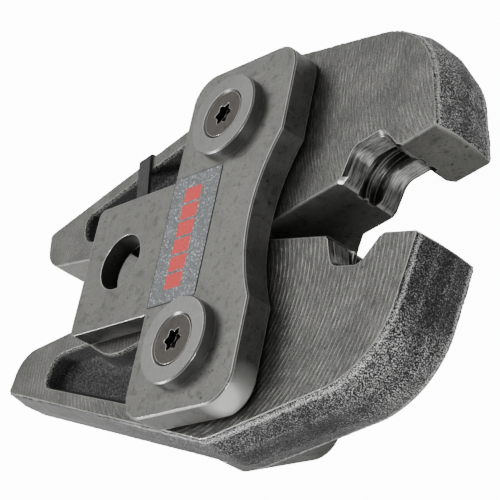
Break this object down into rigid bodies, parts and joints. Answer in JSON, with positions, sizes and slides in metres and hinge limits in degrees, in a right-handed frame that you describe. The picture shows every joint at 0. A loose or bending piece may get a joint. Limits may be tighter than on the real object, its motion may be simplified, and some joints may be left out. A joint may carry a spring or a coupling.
{
  "type": "press fitting tool jaw",
  "caption": "Press jaw for pipe fittings: forged levers on bolts between T-shaped side plates, with a bead-groove mouth and a bore for the drive's pin.",
  "frame": {"origin": "centre of the retaining-pin bore, halfway between the two tabs", "axes": "+X along the midline towards the mouth, +Y towards the upper lever, +Z out of the front side plate; the part lies on its back washers"},
  "size_m": [0.1364, 0.0985, 0.0386],
  "materials": {
    "lever_steel": "forged and blasted, with ground sides",
    "plate_steel": "satin ground steel",
    "washer_steel": "turned satin steel",
    "screw_steel": "dark heat-treated steel",
    "bolt_steel": "ground steel",
    "spring_steel": "dark drawn wire",
    "strap_rubber": "matte black",
    "label_foil": "sparkling silver foil with a plain red bar"
  },
  "bodies": {
    "plates": {"front_side_plate": "plate_steel", "back_side_plate": "plate_steel", "upper_pivot_bolt": "bolt_steel", "lower_pivot_bolt": "bolt_steel", "spring_pin": "bolt_steel", "closing_spring": "spring_steel", "label_foil": "label_foil", "front_upper_washer": "washer_steel", "front_lower_washer": "washer_steel", "back_upper_washer": "washer_steel", "back_lower_washer": "washer_steel", "front_upper_screw": "screw_steel", "front_lower_screw": "screw_steel", "back_upper_screw": "screw_steel", "back_lower_screw": "screw_steel"},
    "upper_jaw": {"upper_jaw_lever": "lever_steel", "retaining_strap": "strap_rubber"},
    "lower_jaw": {"lower_jaw_lever": "lever_steel"}
  },
  "joints": [
    {"name": "upper_pivot", "type": "hinge", "parent": "plates", "child": "upper_jaw", "pos_m": [0.0329, 0.028, 0], "axis": [0, 0, -1], "range_deg": [-8.3, 13.2]},
    {"name": "lower_pivot", "type": "hinge", "parent": "plates", "child": "lower_jaw", "pos_m": [0.0329, -0.028, 0], "axis": [0, 0, 1], "range_deg": [-10.3, 11.2]}
  ]
}
